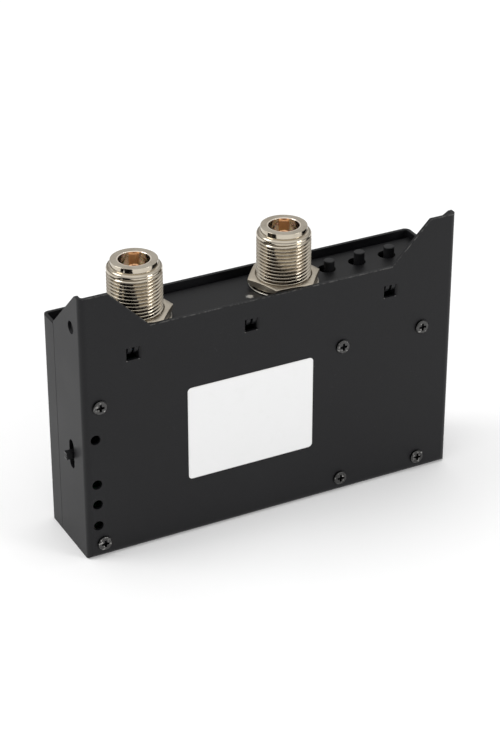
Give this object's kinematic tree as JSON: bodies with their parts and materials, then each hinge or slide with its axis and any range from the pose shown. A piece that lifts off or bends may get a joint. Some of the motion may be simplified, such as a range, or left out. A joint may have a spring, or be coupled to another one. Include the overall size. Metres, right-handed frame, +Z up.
{
  "type": "antenna analyzer",
  "caption": "Handheld antenna analyzer in a folded sheet case, with threaded coaxial sockets, push buttons and a slide switch at the top and end.",
  "frame": {"origin": "middle of the case's length and depth, on its underside", "axes": "+X towards the end with the power switch, +Y out of the rear face with the screws, +Z up towards the threaded sockets"},
  "size_m": [0.121, 0.0276, 0.0839],
  "materials": {
    "case_sheet": "fine-texture black powder coat",
    "nickel": "nickel plating over brass",
    "zinc_steel": "bright zinc plating",
    "white_plastic": "smooth white",
    "gold": "gold plating",
    "button_plastic": "fine moulded black",
    "black_plastic": "moulded black",
    "tinned_steel": "bright tin plating",
    "circuit_board": "green solder mask",
    "gasket_foam": "closed-cell foam",
    "panel_glass": "clear cover glass",
    "display_metal": "satin metal frame",
    "amber_film": "amber polyimide film",
    "battery_foil": "matte laminate foil",
    "lead_red": "soft wire insulation",
    "brass_plated": "nickel plating over brass",
    "black_steel": "black oxide",
    "light_plastic": "clear lens over a chip",
    "label_vinyl": "blank white vinyl"
  },
  "bodies": {
    "case": {"rear_cover": "case_sheet", "front_cover": "case_sheet", "top_plate": "case_sheet", "port_1_body": "nickel", "port_2_body": "nickel", "port_1_nut": "nickel", "port_2_nut": "nickel", "port_1_lock_washer": "zinc_steel", "port_2_lock_washer": "zinc_steel", "port_1_insulator": "white_plastic", "port_2_insulator": "white_plastic", "port_1_contact": "gold", "port_2_contact": "gold", "left_button_switch": "black_plastic", "centre_button_switch": "black_plastic", "right_button_switch": "black_plastic", "power_switch_body": "black_plastic", "power_switch_frame": "tinned_steel", "main_board": "circuit_board", "display_gasket": "gasket_foam", "touch_panel": "panel_glass", "display_module": "display_metal", "display_connector": "white_plastic", "display_ribbon": "amber_film", "battery": "battery_foil", "battery_tape": "gasket_foam", "battery_leads": "lead_red", "battery_plug": "white_plastic", "battery_header": "white_plastic", "usb_socket": "tinned_steel", "front_standoffs": "brass_plated", "corner_standoffs": "brass_plated", "middle_standoffs": "brass_plated", "rear_screws": "black_steel", "board_screws": "zinc_steel", "shield_can_1": "tinned_steel", "shield_can_2": "tinned_steel", "processor": "black_plastic", "indicator_lights": "light_plastic", "blank_label": "label_vinyl"},
    "left_push_button": {"left_button": "button_plastic"},
    "centre_push_button": {"centre_button": "button_plastic"},
    "right_push_button": {"right_button": "button_plastic"},
    "power_lever": {"power_switch_lever": "black_plastic"}
  },
  "joints": [
    {"name": "left_button_press", "type": "slide", "parent": "case", "child": "left_push_button", "axis": [0, 0, -1], "range_m": [0, 0.00035], "stiffness_N_per_m": 2000, "springref_m": -0.0005},
    {"name": "centre_button_press", "type": "slide", "parent": "case", "child": "centre_push_button", "axis": [0, 0, -1], "range_m": [0, 0.00035], "stiffness_N_per_m": 2000, "springref_m": -0.0005},
    {"name": "right_button_press", "type": "slide", "parent": "case", "child": "right_push_button", "axis": [0, 0, -1], "range_m": [0, 0.00035], "stiffness_N_per_m": 2000, "springref_m": -0.0005},
    {"name": "power_lever_slide", "type": "slide", "parent": "case", "child": "power_lever", "axis": [0, 0, 1], "range_m": [0, 0.002]}
  ]
}
